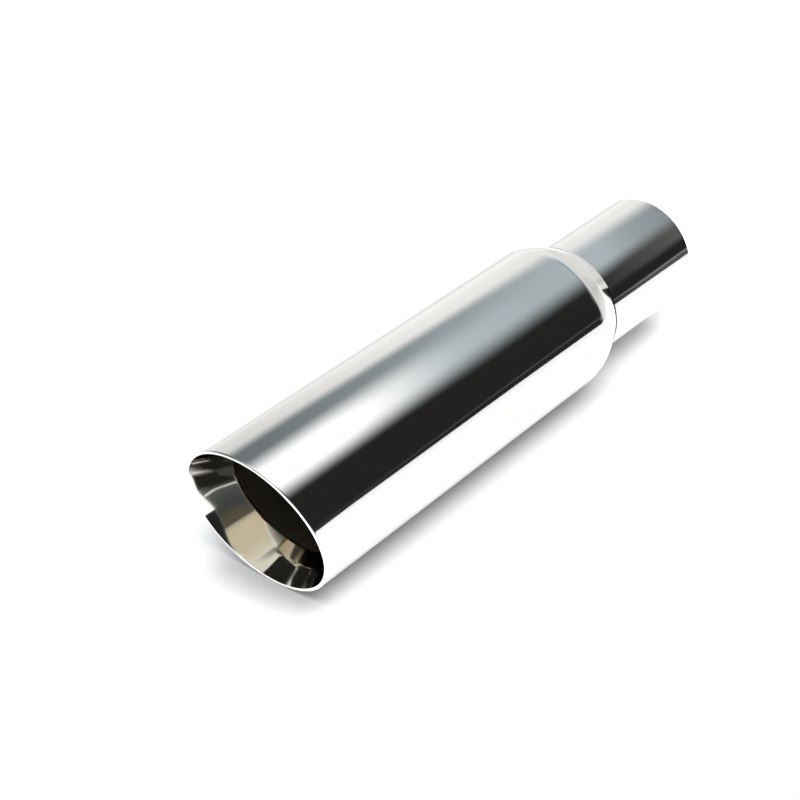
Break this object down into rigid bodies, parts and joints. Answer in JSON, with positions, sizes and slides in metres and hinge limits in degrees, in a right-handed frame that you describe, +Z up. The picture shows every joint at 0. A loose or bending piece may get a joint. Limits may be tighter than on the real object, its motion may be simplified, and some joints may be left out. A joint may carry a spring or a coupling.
{
  "type": "exhaust tip",
  "caption": "Double-wall slash-cut exhaust tip: a polished round tube with a slanted open mouth and a drawn-in shoulder, and an inner pipe that slips over the tailpipe and flares out to the rim.",
  "frame": {"origin": "centre of the inlet end, on the axis of the tube", "axes": "+X along the axis of the tube towards the mouth, +Z up through the long lip of the slash cut"},
  "size_m": [0.3152, 0.0762, 0.0762],
  "materials": {
    "polished_steel": "mirror polished stainless steel"
  },
  "bodies": {
    "root": {"exhaust_tip": "polished_steel"}
  },
  "joints": []
}
